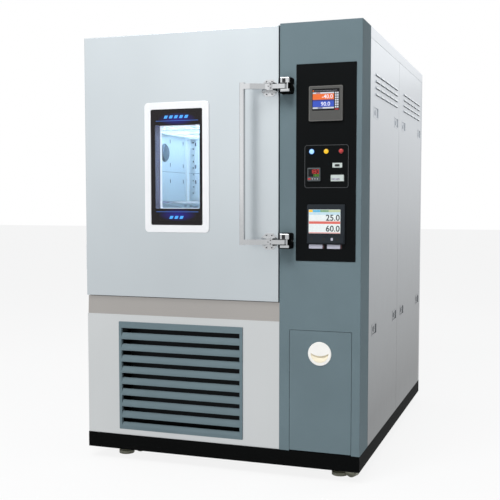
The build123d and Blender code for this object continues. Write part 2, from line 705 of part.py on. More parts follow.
# Window: white trim, two panes and the dark reveal between them
with BuildPart() as window_frame:
    front_plate(trim_box, door_front - trim_proud, trim_proud, trim_radius)
    fillet(window_frame.faces().sort_by(Axis.Y)[0].edges(), 2)
    front_plate(pane_box, door_front - trim_proud, trim_proud, 6, mode=Mode.SUBTRACT)
save("window_frame", window_frame.part)

outer_pane_y = (-3.0, 3.0)
inner_pane_y = (55.0, 61.0)
with BuildPart() as outer_pane:
    front_plate(grown(pane_box, -0.4), outer_pane_y[0], outer_pane_y[1] - outer_pane_y[0], 5)
with BuildPart() as inner_pane:
    front_plate(grown(view_box, 6), inner_pane_y[0], inner_pane_y[1] - inner_pane_y[0], 2)
save("window_panes", outer_pane.part, inner_pane.part)

with BuildPart() as window_reveal:
    front_plate(grown(window_hole, -0.4), outer_pane_y[1], door_back - outer_pane_y[1], 7.6)
    front_plate(view_box, 0, 80, 4, mode=Mode.SUBTRACT)
    front_plate(grown(view_box, 6.2), inner_pane_y[0], 20, 2, mode=Mode.SUBTRACT)
save("window_reveal", window_reveal.part)

# Door hinges: the cabinet's leaves carry the pins, the door's knuckles turn on them
knuckle_radius = 8.0
leaves = []
knuckles = []
for z in hinge_z:
    with BuildPart() as leaf:
        block((-3, 0), (side_start + 1, 130), (z - 50, z + 50))
        for low, high in ((z - 50, z - 20.3), (z + 20.3, z + 50)):
            block((-8, -3), (hinge_axis[1], side_start + 20), (low, high))
            rod(*hinge_axis, (low + high) / 2, knuckle_radius, high - low)
        rod(*hinge_axis, z, pin_radius, 100)
    leaves.append(leaf.part)
    with BuildPart() as knuckle:
        block((-3, 0), (2, 30), (z - 50, z + 50))
        block((-9, -3), (20, hinge_axis[1]), (z - 20, z + 20))
        rod(*hinge_axis, z, knuckle_radius, 40)
        rod(*hinge_axis, z, pin_radius + running_gap, 60, mode=Mode.SUBTRACT)
    knuckles.append(knuckle.part)
save("hinge_leaves", *leaves)
save("hinge_knuckles", *knuckles)

# Latch housings on the door: an octagonal plate and a clevis that holds the handle's hub
pivot_x, pivot_y = latch_pivot
plate_y = (door_front - 3, door_front)
plate_size = 62.0
cheek_z = (10.0, 14.0)
hub_radius = 15.0
foot_y = -16.0
housings = []
for z in latch_z:
    with BuildPart() as housing:
        with BuildSketch(front_plane(plate_y[0])) as octagon:
            with Locations((housing_x, z)):
                Rectangle(plate_size, plate_size - 2)
            chamfer(octagon.vertices(), 17)
        extrude(octagon.sketch, amount=-3)
        for side in (-11, 10):
            for rise in (-22.5, 22.5):
                rod(housing_x + side, plate_y[0] - 1, z + rise, 4.5, 2, Axis.Y)
        block((735, 792), (foot_y, plate_y[0]), (z - cheek_z[1], z + cheek_z[1]))
        fillet(housing.edges().filter_by(Axis.Z).filter_by(lambda edge: edge.center().Y < front + foot_y + 1), 3)
        for low, high in ((z - cheek_z[1], z - cheek_z[0]), (z + cheek_z[0], z + cheek_z[1])):
            with BuildSketch(floor_plane(low)) as cheek:
                with BuildLine():
                    Line((738, foot_y), (756, pivot_y))
                    ThreePointArc((756, pivot_y), (pivot_x, pivot_y - 19), (792, pivot_y))
                    Line((792, pivot_y), (792, foot_y))
                    Line((792, foot_y), (738, foot_y))
                make_face()
            extrude(cheek.sketch, amount=high - low)
        rod(pivot_x, pivot_y, z, pin_radius, 2 * cheek_z[1] + 3)
    housings.append(housing.part)
save("latch_housings", *housings)

# Pull handle: bar with swaged arms, hubs with their three rivets, and tongues, in one casting
bar_y = (-handle_reach, -handle_reach + 18)
arm_half = 9.5
rivet_arc = ((782, 6.5), (773, 0), (782, -6.5))
with BuildPart() as pull_handle:
    block(bar_x, bar_y, bar_z)
    for z in latch_z:
        rod(pivot_x, pivot_y, z, hub_radius, 2 * arm_half)
        with BuildSketch(floor_plane(z - arm_half)) as arm:
            with BuildLine():
                Polyline((bar_x[0], bar_y[0]), (bar_x[1] + 22, bar_y[0]), (pivot_x - 14, pivot_y - 15),
                         (pivot_x, pivot_y - hub_radius), (pivot_x, pivot_y + hub_radius),
                         (pivot_x - 15, pivot_y), (bar_x[1] + 20, bar_y[1]), (bar_x[0], bar_y[1]), close=True)
            make_face()
        extrude(arm.sketch, amount=2 * arm_half)
        with BuildSketch(floor_plane(z - tongue_half)) as tongue:
            with BuildLine():
                Polyline((pivot_x, pivot_y - 10), (tongue_tip - 8, pivot_y - 6), (tongue_tip, pivot_y),
                         (tongue_tip, pivot_y + 6), (pivot_x, pivot_y + 10), close=True)
            make_face()
        extrude(tongue.sketch, amount=2 * tongue_half)
        for x, rise in rivet_arc:
            rod(x, pivot_y - 11, z + rise, 1.8, 7, Axis.Y)
        rod(pivot_x, pivot_y, z, pin_radius + running_gap, 30, mode=Mode.SUBTRACT)
    bar_edges = pull_handle.edges().filter_by(Axis.Z).filter_by(lambda edge: edge.length > 300)
    fillet(bar_edges, 4)
pull_handle.part.label = "pull_handle"
export_step(pull_handle.part, "parts/pull_handle.step")

# Keepers on the column: a black spacer and a chromed block, both open to the front in the tongue's band
spacers = []
keepers = []
for z in latch_z:
    slot_z = (z - keeper_slot, z + keeper_slot)
    bridge_x = (tongue_tip + 2.5, keeper_x[1] - 5.5)
    with BuildPart() as spacer:
        front_plate((*spacer_x, z + keeper_rise[0] - 4, z + keeper_rise[1] + 2), keeper_y[1], -keeper_y[1], 7)
        block((spacer_x[0], bridge_x[1]), (keeper_y[1], spacer_pocket_y), slot_z, Mode.SUBTRACT)
    spacers.append(spacer.part)
    with BuildPart() as keeper:
        block(keeper_x, keeper_y, (z + keeper_rise[0], z + keeper_rise[1]))
        fillet(keeper.faces().sort_by(Axis.Y)[0].edges(), 4)
        block((keeper_x[0], bridge_x[0]), keeper_y, slot_z, Mode.SUBTRACT)
        block((bridge_x[1], keeper_x[1]), keeper_y, slot_z, Mode.SUBTRACT)
        with BuildSketch(front_plane(keeper_y[0])) as window:
            with Locations((keeper_x[0] + 14.5, z + 18.5)):
                SlotOverall(13, 9, rotation=90)
        extrude(window.sketch, amount=-12, mode=Mode.SUBTRACT)
        rod(spacer_x[1] + 1.5, -15, z + 4, 4.5, 3, Axis.X)
    keepers.append(keeper.part)
save("keeper_spacers", *spacers)
save("latch_keepers", *keepers)

# Levelling mounts: top plate, screw with thumb wheel, and the pad that stands on the floor
mount_top = 30.6
plate_bottom = mount_top - 3.0
mounts = []
for x, y, turn in caster_corners.values():
    with BuildPart() as mount:
        block((x - 45, x + 45), (y - 45, y + 45), (plate_bottom, mount_top))
        rod(x, y, (plate_bottom - foot_height) / 2, 6, plate_bottom + foot_height)
        rod(x, y, -19, 26, 7.5)
        rod(x, y, -39, 31, 12)
        fillet(mount.edges().filter_by(GeomType.CIRCLE).group_by(Axis.Z)[0], 2)
    mounts.append(mount.part)
save("levelling_mounts", *mounts)

axle_z = wheel_radius + wheel_lift - foot_height
cheek_inside = wheel_width / 2 + 1.0
cheek_outside = cheek_inside + 4.0
for corner, (x, y, turn) in caster_corners.items():
    swivel = Plane(origin=at(x, y, 0), x_dir=(cos(radians(turn)), sin(radians(turn)), 0), z_dir=(0, 0, 1))
    upright = Plane(origin=swivel.origin, x_dir=swivel.x_dir, z_dir=swivel.y_dir * -1)
    with BuildPart() as fork:
        with BuildSketch(upright) as fork_side:
            with BuildLine():
                Polyline((0, 12), (0, 27), (48, 27), (72, 8), (72, -24), (50, -28), (38, -12), (35, 12), close=True)
            make_face()
        extrude(fork_side.sketch, amount=cheek_outside, both=True)
        with BuildSketch(upright) as wheel_room:
            with Locations((trail, axle_z)):
                Circle(wheel_radius + 3)
            with Locations((trail, axle_z - 30)):
                Rectangle(2 * wheel_radius + 6, 60)
        extrude(wheel_room.sketch, amount=cheek_inside, both=True, mode=Mode.SUBTRACT)
        with Locations(Location(swivel) * Location((0, 0, 19.5))):
            Cylinder(28, 15)
            Cylinder(7, 40, mode=Mode.SUBTRACT)
        with BuildSketch(upright) as axle:
            with Locations((trail, axle_z)):
                Circle(pin_radius)
        extrude(axle.sketch, amount=cheek_outside, both=True)
    save(f"caster_fork_{corner}", fork.part)
    with BuildPart() as wheel:
        with BuildSketch(upright) as tread:
            with Locations((trail, axle_z)):
                Circle(wheel_radius)
                Circle(pin_radius + running_gap, mode=Mode.SUBTRACT)
        extrude(tread.sketch, amount=wheel_width / 2, both=True)
    save(f"caster_wheel_{corner}", wheel.part)
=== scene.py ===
import bpy
import bmesh
from math import cos, pi, radians, sin
from mathutils import Matrix, Vector


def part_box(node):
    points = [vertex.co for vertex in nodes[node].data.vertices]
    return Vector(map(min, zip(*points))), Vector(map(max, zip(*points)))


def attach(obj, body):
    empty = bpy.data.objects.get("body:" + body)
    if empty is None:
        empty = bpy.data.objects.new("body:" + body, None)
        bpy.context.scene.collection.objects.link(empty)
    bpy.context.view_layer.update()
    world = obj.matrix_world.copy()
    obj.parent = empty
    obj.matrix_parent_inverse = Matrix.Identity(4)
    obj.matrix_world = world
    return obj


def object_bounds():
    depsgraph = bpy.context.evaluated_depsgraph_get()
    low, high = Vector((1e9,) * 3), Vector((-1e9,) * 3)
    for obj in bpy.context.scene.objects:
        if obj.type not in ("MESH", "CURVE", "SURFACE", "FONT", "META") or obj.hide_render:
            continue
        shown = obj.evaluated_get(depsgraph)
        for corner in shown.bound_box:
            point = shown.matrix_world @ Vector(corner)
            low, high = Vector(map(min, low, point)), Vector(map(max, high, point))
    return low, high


# Environmental test chamber: the finish of every surface, and the small pieces on it.
# Places are millimetres from the cabinet's front left bottom corner, as in the model:
# x across from the left side, y back from the column's face, z up from the plinth.
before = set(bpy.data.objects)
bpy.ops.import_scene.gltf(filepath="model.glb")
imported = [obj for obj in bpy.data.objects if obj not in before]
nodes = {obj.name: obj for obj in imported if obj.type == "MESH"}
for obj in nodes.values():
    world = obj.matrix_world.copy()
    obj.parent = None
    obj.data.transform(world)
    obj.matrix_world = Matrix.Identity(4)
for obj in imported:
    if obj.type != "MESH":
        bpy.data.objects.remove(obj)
cad_low, cad_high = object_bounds()
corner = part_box("cabinet_frame")[0]
scene = bpy.context.scene
MM = 0.001
RELIEF_DEPTH = 0.2 * MM
PIECE_CREASE = radians(35)
NODE_CREASE = radians(28)
SCREEN_RECESS = 0.9
PRINT_HEIGHT = 0.12


def at(x, y, z):
    """Place on the cabinet, in the frame's metres."""
    return corner + Vector((x, y, z)) * MM


def inside(node):
    """Lowest and highest corner of a node, in the cabinet's millimetres."""
    low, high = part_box(node)
    return (low - corner) / MM, (high - corner) / MM


def rgb(red, green, blue):
    """Linear colour from the usual 0 to 255 values."""
    def linear(value):
        value = value / 255
        return value / 12.92 if value <= 0.04045 else ((value + 0.055) / 1.055) ** 2.4
    return (linear(red), linear(green), linear(blue), 1.0)


# Materials

def shader(name, color, roughness, metallic=0.0, **sockets):
    """Principled material with its plain values on the shader's own sockets."""
    material = bpy.data.materials.new(name)
    material.use_nodes = True
    bsdf = material.node_tree.nodes["Principled BSDF"]
    bsdf.inputs["Base Color"].default_value = color
    bsdf.inputs["Roughness"].default_value = roughness
    bsdf.inputs["Metallic"].default_value = metallic
    for socket, value in sockets.items():
        bsdf.inputs[socket.replace("_", " ")].default_value = value
    return material


def noise(material, scale, stretch=(1, 1, 1), detail=3.0):
    """Noise in the object's own metres, stretched along its axes."""
    tree = material.node_tree
    place = tree.nodes.new("ShaderNodeTexCoord")
    mapping = tree.nodes.new("ShaderNodeMapping")
    mapping.inputs["Scale"].default_value = stretch
    texture = tree.nodes.new("ShaderNodeTexNoise")
    texture.inputs["Scale"].default_value = scale
    texture.inputs["Detail"].default_value = detail
    tree.links.new(place.outputs["Object"], mapping.inputs["Vector"])
    tree.links.new(mapping.outputs["Vector"], texture.inputs["Vector"])
    return texture.outputs["Fac"]


def ramp(material, value, low, high, start=0.3, end=0.7):
    """Turn a value into a colour between two."""
    node = material.node_tree.nodes.new("ShaderNodeValToRGB")
    node.color_ramp.elements[0].position = start
    node.color_ramp.elements[1].position = end
    node.color_ramp.elements[0].color = low
    node.color_ramp.elements[1].color = high
    material.node_tree.links.new(value, node.inputs["Fac"])
    return node.outputs["Color"]


def spread(material, value, low, high):
    """Map noise to a narrow range of numbers."""
    node = material.node_tree.nodes.new("ShaderNodeMapRange")
    node.inputs["From Min"].default_value = 0.25
    node.inputs["From Max"].default_value = 0.75
    node.inputs["To Min"].default_value = low
    node.inputs["To Max"].default_value = high
    material.node_tree.links.new(value, node.inputs["Value"])
    return node.outputs["Result"]


def wire(material, output, socket):
    """Feed an output to the shader."""
    bsdf = material.node_tree.nodes["Principled BSDF"]
    material.node_tree.links.new(output, bsdf.inputs[socket])


def bump(material, value, strength):
    """Small relief from a value."""
    node = material.node_tree.nodes.new("ShaderNodeBump")
    node.inputs["Strength"].default_value = strength
    node.inputs["Distance"].default_value = RELIEF_DEPTH
    material.node_tree.links.new(value, node.inputs["Height"])
    wire(material, node.outputs["Normal"], "Normal")


def shade(color, factor):
    """Same colour, lighter or darker."""
    return tuple(min(1.0, channel * factor) for channel in color[:3]) + (1.0,)


def brushed(name, color, roughness, grain, metallic=1.0):
    """Stainless sheet with fine grain along one way and faint clouding."""
    material = shader(name, color, roughness, metallic)
    fine = noise(material, 1.0, grain, 4.0)
    cloud = noise(material, 2.2, (1, 1, 0.6), 2.0)
    wire(material, ramp(material, cloud, shade(color, 0.955), shade(color, 1.03)), "Base Color")
    wire(material, spread(material, fine, roughness - 0.05, roughness + 0.06), "Roughness")
    bump(material, fine, 0.06)
    return material


def painted_height_shade(material, low_color, high_color, top):
    """Stainless sheet with painted shade: darker towards the floor and lighter towards the top, standing in
    for how light and reflections fall on it.
    """
    tree = material.node_tree
    place = tree.nodes.new("ShaderNodeTexCoord")
    split = tree.nodes.new("ShaderNodeSeparateXYZ")
    height = tree.nodes.new("ShaderNodeMath")
    height.operation = "DIVIDE"
    height.inputs[1].default_value = top
    tree.links.new(place.outputs["Object"], split.inputs["Vector"])
    tree.links.new(split.outputs["Z"], height.inputs[0])
    wire(material, ramp(material, height.outputs["Value"], low_color, high_color, 0.12, 0.82), "Base Color")


def painted(name, color, roughness, peel=420.0, change=0.06, relief=0.12, gloss=0.3):
    """Powder-coated or moulded surface with orange peel and slight change of shade."""
    material = shader(name, color, roughness, Specular_IOR_Level=gloss)
    fine = noise(material, peel, detail=2.0)
    broad = noise(material, 3.0, detail=3.0)
    wire(material, ramp(material, broad, shade(color, 1 - change), shade(color, 1 + change)), "Base Color")
    wire(material, spread(material, fine, roughness - 0.04, roughness + 0.06), "Roughness")
    bump(material, fine, relief)
    return material


def glowing(name, color, strength, roughness=0.3):
    """Lit surface whose brightness changes slightly across it."""
    material = shader(name, shade(color, 0.12), roughness, Emission_Color=color, Emission_Strength=strength)
    glow = noise(material, 160.0, detail=1.0)
    wire(material, ramp(material, glow, shade(color, 0.92), color), "Emission Color")
    return material


def halo(name, dark, light):
    """Printed area whose middle glows and fades to its rim."""
    material = shader(name, dark, 0.3, Emission_Strength=0.7, Specular_IOR_Level=0.2)
    tree = material.node_tree
    place = tree.nodes.new("ShaderNodeTexCoord")
    mapping = tree.nodes.new("ShaderNodeMapping")
    mapping.inputs["Location"].default_value = (-1.0, 0.0, -1.0)
    mapping.inputs["Scale"].default_value = (2.0, 0.0, 2.0)
    gradient = tree.nodes.new("ShaderNodeTexGradient")
    gradient.gradient_type = "SPHERICAL"
    tree.links.new(place.outputs["Generated"], mapping.inputs["Vector"])
    tree.links.new(mapping.outputs["Vector"], gradient.inputs["Vector"])
    wire(material, ramp(material, gradient.outputs["Fac"], (0, 0, 0, 1), light, 0.0, 0.9), "Emission Color")
    return material


VERTICAL = (1400.0, 1400.0, 9.0)
ALONG_X = (9.0, 1400.0, 1400.0)
ALONG_Y = (1400.0, 9.0, 1400.0)
steel_door = brushed("steel_door", rgb(190, 197, 201), 0.34, VERTICAL)
steel_panel = brushed("steel_panel", rgb(201, 204, 205), 0.36, VERTICAL)
# Side and rear panels: the cabinet's stainless with painted shade in its colour, darker towards the floor and
# lighter towards the top, stronger on the right side.
steel_side_painted_shade = brushed("steel_side_painted_shade", rgb(140, 144, 147), 0.34, VERTICAL)
painted_height_shade(steel_side_painted_shade, rgb(98, 101, 103), rgb(196, 201, 206), cad_high.z)
steel_rear_painted_shade = brushed("steel_rear_painted_shade", rgb(170, 174, 177), 0.34, VERTICAL)
painted_height_shade(steel_rear_painted_shade, rgb(150, 153, 155), rgb(192, 197, 202), cad_high.z)
steel_sill = brushed("steel_sill", rgb(162, 159, 156), 0.45, ALONG_X)
steel_liner = brushed("steel_liner", rgb(212, 223, 229), 0.32, ALONG_Y)
steel_bright = brushed("steel_bright", rgb(225, 228, 230), 0.22, ALONG_X)
galvanised = brushed("galvanised", rgb(150, 154, 156), 0.5, (60.0, 60.0, 60.0))
chrome = brushed("chrome", rgb(190, 192, 194), 0.16, (200.0, 200.0, 200.0))
blue_grey = painted("blue_grey_paint", rgb(110, 127, 133), 0.55, gloss=0.03)
plinth_black = painted("plinth_black", rgb(12, 13, 13), 0.6, gloss=0.02)
fascia_black = painted("fascia_black", rgb(14, 16, 17), 0.42, peel=900.0, relief=0.04, gloss=0.04)
panel_black = painted("panel_black", rgb(24, 20, 22), 0.25, peel=900.0, relief=0.03, gloss=0.2)
trim_dark = painted("trim_dark", rgb(58, 30, 34), 0.4)
outline_grey = painted("outline_grey", rgb(84, 86, 88), 0.4, gloss=0.1)
bezel_warm = painted("bezel_warm", rgb(78, 78, 76), 0.42, peel=900.0)
bezel_rim = painted("bezel_rim", rgb(118, 117, 114), 0.35, gloss=0.2)
bezel_grey = painted("bezel_grey", rgb(86, 92, 94), 0.42, peel=900.0)
bezel_dark = painted("bezel_dark", rgb(40, 45, 50), 0.4, peel=900.0, gloss=0.1)
frame_white = painted("frame_white", rgb(240, 241, 243), 0.3, peel=700.0, change=0.02)
insert_mint = painted("insert_mint", rgb(204, 213, 209), 0.45, gloss=0.1)
pull_ivory = painted("pull_ivory", rgb(252, 250, 245), 0.35, change=0.02)
pull_cream = painted("pull_cream", rgb(250, 240, 214), 0.45, change=0.02)
reveal_dark = painted("reveal_dark", rgb(112, 110, 134), 0.5)
seal_rubber = painted("seal_rubber", rgb(40, 41, 43), 0.7, peel=260.0, relief=0.3)
foam = painted("foam", rgb(214, 200, 160), 0.9, peel=140.0, relief=0.6)
tank_plastic = painted("tank_plastic", rgb(222, 226, 228), 0.4)
port_slate = painted("port_slate", rgb(56, 68, 80), 0.6)
seam_grey = painted("seam_grey", rgb(120, 134, 150), 0.5)
# Painted shade: dark plates for the openings of the shelf-hook slots.
hook_slot_painted_shade = painted("hook_slot_painted_shade", rgb(62, 70, 88), 0.5)
caster_ivory = painted("caster_ivory", rgb(196, 196, 176), 0.5)
wheel_nylon = painted("wheel_nylon", rgb(176, 176, 158), 0.5)
screen_black = painted("screen_black", rgb(6, 7, 10), 0.25, peel=900.0, relief=0.0, gloss=0.2)
tab_pale = painted("tab_pale", rgb(190, 190, 204), 0.4)
slot_dark = painted("slot_dark", rgb(28, 28, 30), 0.5)
digit_dark = painted("digit_dark", rgb(60, 66, 66), 0.5)
digit_ink = painted("digit_ink", rgb(28, 38, 44), 0.5)
machine_black = painted("machine_black", rgb(26, 27, 28), 0.45)
# Near-black fins: painted shade for the condenser and air treatment, which lie in shade behind the intake
# grille.
fin_metal_painted_shade = brushed("fin_metal_painted_shade", rgb(34, 36, 38), 0.5, (700.0, 5.0, 5.0))

pane = shader("pane_glass", rgb(238, 244, 250), 0.02, Transmission_Weight=1.0, IOR=1.2)
smear = noise(pane, 9.0, detail=4.0)
wire(pane, spread(pane, smear, 0.0, 0.05), "Roughness")

lamp_light = glowing("lamp_light", rgb(232, 243, 255), 2.2)
accent_blue = glowing("accent_blue", rgb(70, 170, 255), 1.0)
accent_thin = glowing("accent_thin", rgb(62, 118, 216), 0.85)
haze_blue = halo("haze_blue", rgb(24, 20, 22), rgb(30, 26, 150))
# Painted highlight: a glow for the window's inner edge, which is no lamp.
edge_painted_glow = glowing("edge_painted_glow", rgb(238, 244, 255), 0.95)
# Painted highlight: a glow for the pilaster's folds, which are no lamp.
fold_painted_highlight = glowing("fold_painted_highlight", rgb(232, 244, 252), 0.8)
lens_white = glowing("lens_white", rgb(176, 228, 255), 1.05)
lens_halo = glowing("lens_halo", rgb(20, 96, 200), 1.0)
digit_white = glowing("digit_white", rgb(235, 238, 250), 1.0)
screen_pale = glowing("screen_pale", rgb(214, 218, 228), 0.85)
band_deep = glowing("band_deep", rgb(36, 46, 120), 0.9)
band_green = glowing("band_green", rgb(128, 170, 130), 0.9)
band_sage = glowing("band_sage", rgb(190, 204, 160), 0.9)
band_sky = glowing("band_sky", rgb(196, 224, 236), 0.9)
band_salmon = glowing("band_salmon", rgb(222, 104, 92), 0.9)
lens_yellow = glowing("lens_yellow", rgb(255, 200, 24), 0.95)
lens_red = painted("lens_red", rgb(190, 62, 62), 0.25)
digit_red = glowing("digit_red", rgb(240, 60, 56), 0.95)
digit_green = glowing("digit_green", rgb(120, 190, 60), 0.9)
band_orange = glowing("band_orange", rgb(234, 106, 30), 0.95)
band_red = glowing("band_red", rgb(170, 34, 40), 0.85)
band_blue = glowing("band_blue", rgb(36, 74, 190), 0.9)
band_cyan = glowing("band_cyan", rgb(92, 186, 224), 0.9)
screen_white = glowing("screen_white", rgb(232, 240, 240), 0.92)

node_materials = {
    steel_door: ["door_skin", "door_inner_pan"],
    steel_panel: ["lower_front_panel"],
    steel_side_painted_shade: ["right_side_panels", "panel_fasteners"],
    steel_rear_painted_shade: ["left_side_panels", "top_cover", "back_panel"],
    steel_sill: ["sill_strip"],
    steel_liner: ["chamber_liner", "rear_baffle"],
    steel_bright: ["wire_shelves", "hinge_leaves", "hinge_knuckles"],
    galvanised: ["electrical_plate", "circulation_impeller"],
    chrome: ["pull_handle", "latch_housings", "latch_keepers"],
    blue_grey: ["column_shell", "intake_grille", "drawer_front"],
    plinth_black: ["cabinet_frame", "keeper_spacers"],
    machine_black: ["compressor", "fan_motor", "condenser_fan"],
    fascia_black: ["control_fascia"],
    bezel_warm: ["controller_body"],
    bezel_grey: ["limit_controller"],
    bezel_dark: ["recorder_body", "recorder_flap", "limit_key_left",
                 "limit_key_middle", "limit_key_right"],
    lens_red: ["limit_key_red"],
    frame_white: ["window_frame"],
    insert_mint: ["panel_inserts"],
    pull_ivory: ["drawer_pull"],
    reveal_dark: ["window_reveal"],
    seal_rubber: ["door_gasket"],
    foam: ["insulation", "door_core"],
    tank_plastic: ["water_tank"],
    slot_dark: ["pilot_lamps"],
    port_slate: ["cable_port"],
    pane: ["window_panes"],
    lamp_light: ["chamber_lamp"],
    fin_metal_painted_shade: ["condenser", "air_treatment"],
    caster_ivory: ["levelling_mounts"] + [n for n in nodes if n.startswith("caster_fork")],
    wheel_nylon: [n for n in nodes if n.startswith("caster_wheel")],
}
for material, names in node_materials.items():
    for name in names:
        mesh = nodes[name].data
        mesh.materials.clear()
        mesh.materials.append(material)


# Mesh helpers

def piece(name, bm, material, body, smooth=False):
    """Finish a mesh, give it a material and let it ride on a body."""
    bmesh.ops.recalc_face_normals(bm, faces=bm.faces)
    mesh = bpy.data.meshes.new(name)
    bm.to_mesh(mesh)
    bm.free()
    mesh.materials.append(material)
    obj = bpy.data.objects.new(name, mesh)
    scene.collection.objects.link(obj)
    if smooth:
        mesh.polygons.foreach_set("use_smooth", [True] * len(mesh.polygons))
        mesh.set_sharp_from_angle(angle=PIECE_CREASE)
    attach(obj, body)


def rounded_loop(box, radius, steps=5):
    """Points of a rounded rectangle seen from the front: (x, z) pairs."""
    x0, x1, z0, z1 = box
    centres = ((x1 - radius, z1 - radius, 0), (x0 + radius, z1 - radius, 90),
               (x0 + radius, z0 + radius, 180), (x1 - radius, z0 + radius, 270))
    points = []
    for cx, cz, start in centres:
        for i in range(steps + 1):
            angle = radians(start + 90 * i / steps)
            points.append((cx + radius * cos(angle), cz + radius * sin(angle)))
    return points


def on_wall(y, x, z):
    """Place for a piece that faces right, on the chamber's left wall."""
    return at(x, y, z)


def plate(name, box, y0, y1, material, body, radius=0.6, edge=0.3, put=at):
    """Rounded plate seen from the front, or from where put turns it, with a small bevel on its rim."""
    bm = bmesh.new()
    rims = []
    for y, inset in ((y1, 0), (y0 + edge, 0), (y0, abs(edge))):
        inner = (box[0] + inset, box[1] - inset, box[2] + inset, box[3] - inset)
        loop = rounded_loop(inner, max(radius - inset, 0.05))
        rims.append([bm.verts.new(put(x, y, z)) for x, z in loop])
    bm.faces.new(rims[0])
    bm.faces.new(rims[-1])
    bridge(bm, rims)
    piece(name, bm, material, body)


def bridge(bm, rims, closed=False):
    """Join loops of equal length by quads."""
    pairs = list(zip(rims, rims[1:])) + ([(rims[-1], rims[0])] if closed else [])
    for first, second in pairs:
        count = len(first)
        for i in range(count):
            j = (i + 1) % count
            bm.faces.new((first[i], first[j], second[j], second[i]))


def ring(name, outer, inner, y0, y1, material, body, outer_radius, inner_radius, put=at, steps=5):
    """Flat frame with rounded corners outside and inside."""
    bm = bmesh.new()
    rims = []
    for box, radius, y in ((outer, outer_radius, y1), (outer, outer_radius, y0),
                           (inner, inner_radius, y0), (inner, inner_radius, y1)):
        rims.append([bm.verts.new(put(x, y, z)) for x, z in rounded_loop(box, radius, steps)])
    bridge(bm, rims, closed=True)
    piece(name, bm, material, body)


def turned(name, centre, profile, material, body, segments=40):
    """Round piece facing the front: profile of (radius, y) pairs from the front's middle outwards."""
    bm = bmesh.new()
    rims = []
    cx, cz = centre
    for radius, y in profile[1:]:
        rims.append([bm.verts.new(at(cx + radius * cos(2 * pi * i / segments), y,
                                     cz + radius * sin(2 * pi * i / segments))) for i in range(segments)])
    tip = bm.verts.new(at(cx, profile[0][1], cz))
    for i in range(segments):
        bm.faces.new((tip, rims[0][i], rims[0][(i + 1) % segments]))
    bridge(bm, rims)
    bm.faces.new(rims[-1])
    piece(name, bm, material, body, smooth=True)


FONT_SIZE_PER_HEIGHT = 1.37
FIGURE_DEPTH = 0.08


def figures(name, text, right, y, z, height, material, body, weight):
    """Plain numbers as thin raised figures, facing the front, right end at the given place."""
    curve = bpy.data.curves.new(name, "FONT")
    curve.body = text
    curve.size = height * MM * FONT_SIZE_PER_HEIGHT
    curve.extrude = FIGURE_DEPTH * MM
    curve.offset = weight * MM
    curve.align_x = "RIGHT"
    curve.resolution_u = 3
    source = bpy.data.objects.new(name, curve)
    scene.collection.objects.link(source)
    bpy.context.view_layer.update()
    mesh = bpy.data.meshes.new_from_object(source)
    bpy.data.objects.remove(source)
    mesh.transform(Matrix.Translation(at(right, y, z)) @ Matrix.Rotation(pi / 2, 4, "X"))
    mesh.materials.clear()
    mesh.materials.append(material)
    obj = bpy.data.objects.new(name, mesh)
    scene.collection.objects.link(obj)
    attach(obj, body)


LIT_BARS = {"0": "abcdef", "1": "bc", "2": "abged", "5": "afgcd", "8": "abcdefg"}


def segments(name, text, right, y, z, size, material, body):
    """Lit number display: seven bars for each figure, right end at the given place."""
    width, height = size
    thick = width * 0.16
    pitch = width * 1.5
    corner_radius, depths = thick * 0.4, (y + 0.1, y)
    bars = {"a": (0, 1, 1, 1), "g": (0, 0.5, 1, 0.5), "d": (0, 0, 1, 0),
            "f": (0, 0.5, 0, 1), "b": (1, 0.5, 1, 1), "e": (0, 0, 0, 0.5), "c": (1, 0, 1, 0.5)}
    bm = bmesh.new()
    for i, figure in enumerate(text):
        left = right - (len(text) - i) * pitch + (pitch - width)
        for bar in LIT_BARS[figure]:
            u0, v0, u1, v1 = bars[bar]
            x0, x1 = left + u0 * (width - thick), left + u1 * (width - thick) + thick
            z0, z1 = z + v0 * (height - thick), z + v1 * (height - thick) + thick
            outline = rounded_loop((x0, x1, z0, z1), corner_radius, 2)
            rims = [[bm.verts.new(at(px, depth, pz)) for px, pz in outline] for depth in depths]
            bm.faces.new(rims[0])
            bm.faces.new(rims[1])
            bridge(bm, rims)
    piece(name, bm, material, body)


# Window

def slanted(name, start, end, z0, z1, lean, y, material, body):
    """Thin bar whose ends lean, facing the front."""
    bm = bmesh.new()
    outline = ((start, z0), (end, z0), (end + lean, z1), (start + lean, z1))
    rims = [[bm.verts.new(at(x, depth, z)) for x, z in outline] for depth in (y + 0.15, y)]
    bm.faces.new(rims[0])
    bm.faces.new(rims[1])
    bridge(bm, rims)
    piece(name, bm, material, body)


